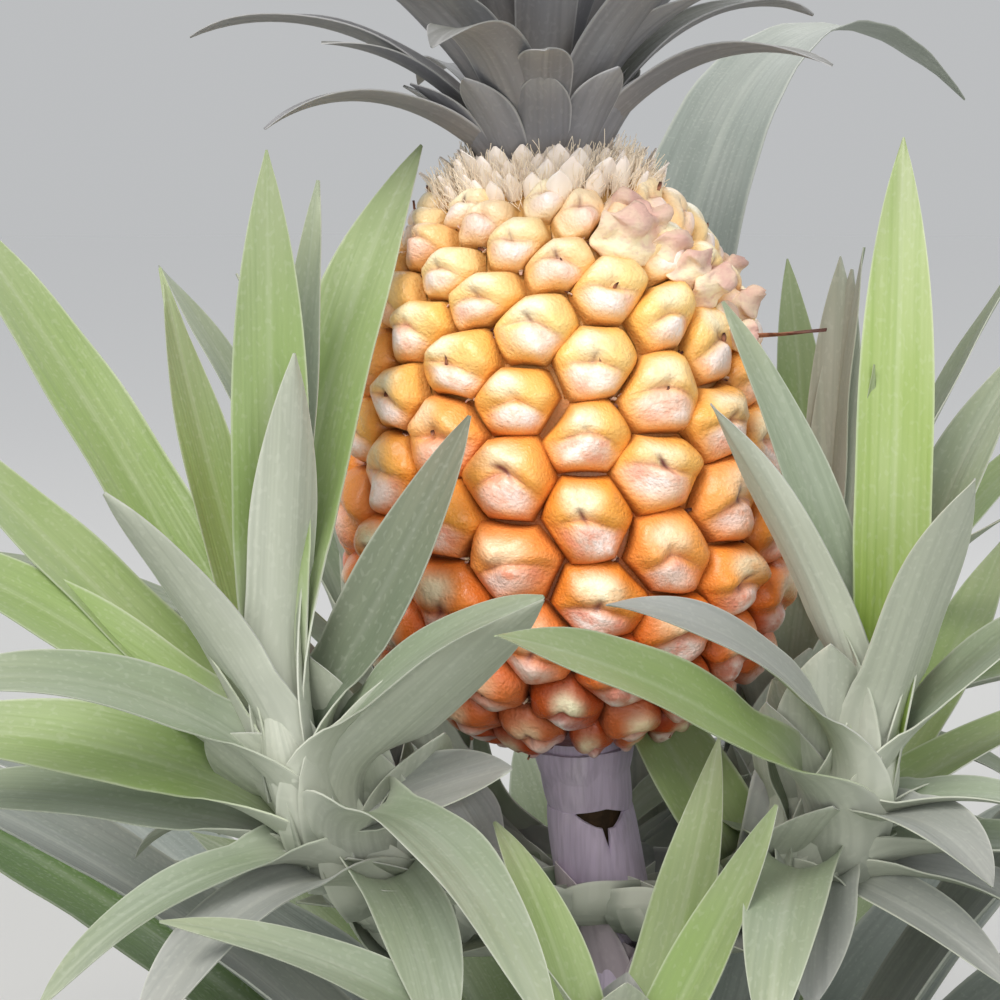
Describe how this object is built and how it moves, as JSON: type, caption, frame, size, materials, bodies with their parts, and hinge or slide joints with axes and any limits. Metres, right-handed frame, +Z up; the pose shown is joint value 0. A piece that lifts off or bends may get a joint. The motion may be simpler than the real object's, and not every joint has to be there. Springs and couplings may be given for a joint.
{
  "type": "pineapple plant",
  "caption": "Pineapple plant in fruit: a spreading rosette of long channelled leaves, a ripe crowned fruit on a stalk, and leafy slips round its foot",
  "frame": {"origin": "middle of the flat cut under the stem, at ground level", "axes": "+Z up along the stem; -Y is the side that the picture shows; +X to the right in the picture; metres"},
  "size_m": [1.0854, 1.0842, 0.6229],
  "materials": {
    "stem": "dull, fibrous, ringed with leaf scars",
    "stalk": "fleshy, pale mauve with a waxy bloom",
    "leaf": "smooth leathery leaf, grey and waxy beneath",
    "slip": "smooth leathery leaf, grey and waxy beneath",
    "fruit": "ripe orange rind of glossy fleshy eyes",
    "crown": "stiff grey-green leaf with a mealy bloom"
  },
  "bodies": {
    "root": {"stem": "stem", "stalk": "stalk", "leaf_01": "leaf", "leaf_02": "leaf", "leaf_03": "leaf", "leaf_04": "leaf", "leaf_05": "leaf", "leaf_06": "leaf", "leaf_07": "leaf", "leaf_08": "leaf", "leaf_09": "leaf", "leaf_10": "leaf", "leaf_11": "leaf", "leaf_12": "leaf", "leaf_13": "leaf", "leaf_14": "leaf", "leaf_15": "leaf", "leaf_16": "leaf", "leaf_17": "leaf", "leaf_18": "leaf", "leaf_19": "leaf", "leaf_20": "leaf", "leaf_21": "leaf", "leaf_22": "leaf", "leaf_23": "leaf", "leaf_24": "leaf", "leaf_25": "leaf", "leaf_26": "leaf", "leaf_27": "leaf", "leaf_28": "leaf", "leaf_29": "leaf", "leaf_30": "leaf", "leaf_31": "leaf", "leaf_32": "leaf", "leaf_33": "leaf", "leaf_34": "leaf", "leaf_35": "leaf", "leaf_36": "leaf", "leaf_37": "leaf", "slip_left": "slip", "slip_right": "slip", "slip_front": "slip", "slip_back_right": "slip", "slip_back_left": "slip", "fruit": "fruit", "crown": "crown"}
  },
  "joints": []
}
